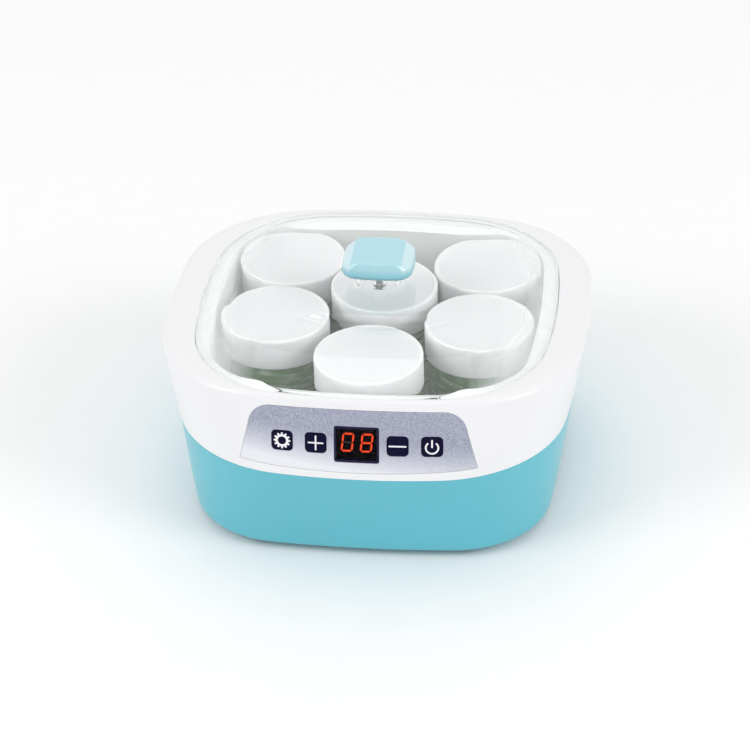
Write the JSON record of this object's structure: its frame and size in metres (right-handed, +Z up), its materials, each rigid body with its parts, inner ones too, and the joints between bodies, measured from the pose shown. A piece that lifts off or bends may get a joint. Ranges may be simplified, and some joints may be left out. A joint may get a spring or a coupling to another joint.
{
  "type": "yogurt maker",
  "caption": "Electric yogurt maker: tapered blue base, white collar with front keys and digital display, clear lid with knob, and glass jars with caps in a heated well.",
  "frame": {"origin": "on the ground under the middle of the overall box, at the bottom of the rubber feet", "axes": "+Z up, the front panel faces -Y, and +X is to the right for someone who faces the front panel"},
  "size_m": [0.255, 0.239, 0.1446],
  "materials": {
    "blue_plastic": "satin light blue",
    "white_plastic": "gloss white",
    "well_plastic": "satin off-white",
    "clear_plastic": "clear and glossy",
    "jar_glass": "clear pressed glass",
    "cap_plastic": "satin white",
    "overlay_film": "silver lavender with a fine sparkle",
    "smoked_plastic": "black smoked gloss",
    "module_plastic": "black with lit segments",
    "key_plastic": "near-black navy gloss with printed signs",
    "board_laminate": "green solder mask",
    "black_plastic": "matte black",
    "relay_plastic": "matte blue",
    "transformer_plastic": "yellow tape",
    "capacitor_sleeve": "dark sleeve",
    "terminal_plastic": "matte green",
    "pin_brass": "plated brass",
    "plate_aluminium": "mill finish",
    "steel": "zinc plated",
    "sensor_resin": "dark resin",
    "ribbon_sleeve": "grey sleeve",
    "heater_lead_sleeve": "red sleeve",
    "inlet_lead_sleeve": "brown sleeve",
    "foot_rubber": "matte dark grey"
  },
  "bodies": {
    "base": {"base_housing": "blue_plastic", "upper_shell": "white_plastic", "inner_well": "well_plastic", "panel_overlay": "overlay_film", "display_window": "smoked_plastic", "display_module": "module_plastic", "control_board": "board_laminate", "power_board": "board_laminate", "tact_switches": "black_plastic", "buzzer": "black_plastic", "relay": "relay_plastic", "transformer": "transformer_plastic", "filter_capacitor": "capacitor_sleeve", "terminal_block": "terminal_plastic", "mains_inlet": "black_plastic", "inlet_pins": "pin_brass", "heating_plate": "plate_aluminium", "ptc_heater": "plate_aluminium", "heater_clamp": "steel", "temperature_sensor": "sensor_resin", "thermal_fuse": "steel", "shell_screws": "steel", "board_screws": "steel", "power_board_screws": "steel", "clamp_screws": "steel", "ribbon_cable": "ribbon_sleeve", "heater_leads": "heater_lead_sleeve", "inlet_leads": "inlet_lead_sleeve", "foot_front_left": "foot_rubber", "foot_front_right": "foot_rubber", "foot_rear_left": "foot_rubber", "foot_rear_right": "foot_rubber"},
    "lid": {"lid": "clear_plastic", "lid_knob": "blue_plastic", "knob_screw": "steel"},
    "jar_front": {"jar_front": "jar_glass"},
    "cap_front": {"jar_cap_front": "cap_plastic"},
    "jar_middle": {"jar_middle": "jar_glass"},
    "cap_middle": {"jar_cap_middle": "cap_plastic"},
    "jar_left_front": {"jar_left_front": "jar_glass"},
    "cap_left_front": {"jar_cap_left_front": "cap_plastic"},
    "jar_left_rear": {"jar_left_rear": "jar_glass"},
    "cap_left_rear": {"jar_cap_left_rear": "cap_plastic"},
    "jar_right_front": {"jar_right_front": "jar_glass"},
    "cap_right_front": {"jar_cap_right_front": "cap_plastic"},
    "jar_right_rear": {"jar_right_rear": "jar_glass"},
    "cap_right_rear": {"jar_cap_right_rear": "cap_plastic"},
    "key_mode": {"key_mode": "key_plastic"},
    "key_plus": {"key_plus": "key_plastic"},
    "key_minus": {"key_minus": "key_plastic"},
    "key_power": {"key_power": "key_plastic"}
  },
  "joints": [
    {"name": "lid_lift", "type": "slide", "parent": "base", "child": "lid", "axis": [0, 0, 1], "range_m": [0, 0.12]},
    {"name": "jar_front_lift", "type": "slide", "parent": "base", "child": "jar_front", "axis": [0, 0, 1], "range_m": [0, 0.003]},
    {"name": "cap_front_twist", "type": "hinge", "parent": "jar_front", "child": "cap_front", "pos_m": [0, -0.0535, 0.1], "axis": [0, 0, 1], "range_deg": [0, 120]},
    {"name": "jar_middle_lift", "type": "slide", "parent": "base", "child": "jar_middle", "axis": [0, 0, 1], "range_m": [0, 0.003]},
    {"name": "cap_middle_twist", "type": "hinge", "parent": "jar_middle", "child": "cap_middle", "pos_m": [0, 0.026, 0.1], "axis": [0, 0, 1], "range_deg": [0, 120]},
    {"name": "jar_left_front_lift", "type": "slide", "parent": "base", "child": "jar_left_front", "axis": [0, 0, 1], "range_m": [0, 0.003]},
    {"name": "cap_left_front_twist", "type": "hinge", "parent": "jar_left_front", "child": "cap_left_front", "pos_m": [-0.0616, -0.0128, 0.1], "axis": [0, 0, 1], "range_deg": [0, 120]},
    {"name": "jar_left_rear_lift", "type": "slide", "parent": "base", "child": "jar_left_rear", "axis": [0, 0, 1], "range_m": [0, 0.003]},
    {"name": "cap_left_rear_twist", "type": "hinge", "parent": "jar_left_rear", "child": "cap_left_rear", "pos_m": [-0.0604, 0.0536, 0.1], "axis": [0, 0, 1], "range_deg": [0, 120]},
    {"name": "jar_right_front_lift", "type": "slide", "parent": "base", "child": "jar_right_front", "axis": [0, 0, 1], "range_m": [0, 0.003]},
    {"name": "cap_right_front_twist", "type": "hinge", "parent": "jar_right_front", "child": "cap_right_front", "pos_m": [0.0616, -0.0128, 0.1], "axis": [0, 0, 1], "range_deg": [0, 120]},
    {"name": "jar_right_rear_lift", "type": "slide", "parent": "base", "child": "jar_right_rear", "axis": [0, 0, 1], "range_m": [0, 0.003]},
    {"name": "cap_right_rear_twist", "type": "hinge", "parent": "jar_right_rear", "child": "cap_right_rear", "pos_m": [0.0604, 0.0536, 0.1], "axis": [0, 0, 1], "range_deg": [0, 120]},
    {"name": "key_mode_press", "type": "slide", "parent": "base", "child": "key_mode", "axis": [0, 0.9824, -0.1869], "range_m": [0, 0.0005], "stiffness_N_per_m": 2400},
    {"name": "key_plus_press", "type": "slide", "parent": "base", "child": "key_plus", "axis": [0, 0.9824, -0.1869], "range_m": [0, 0.0005], "stiffness_N_per_m": 2400},
    {"name": "key_minus_press", "type": "slide", "parent": "base", "child": "key_minus", "axis": [0, 0.9824, -0.1869], "range_m": [0, 0.0005], "stiffness_N_per_m": 2400},
    {"name": "key_power_press", "type": "slide", "parent": "base", "child": "key_power", "axis": [0, 0.9824, -0.1869], "range_m": [0, 0.0005], "stiffness_N_per_m": 2400}
  ]
}
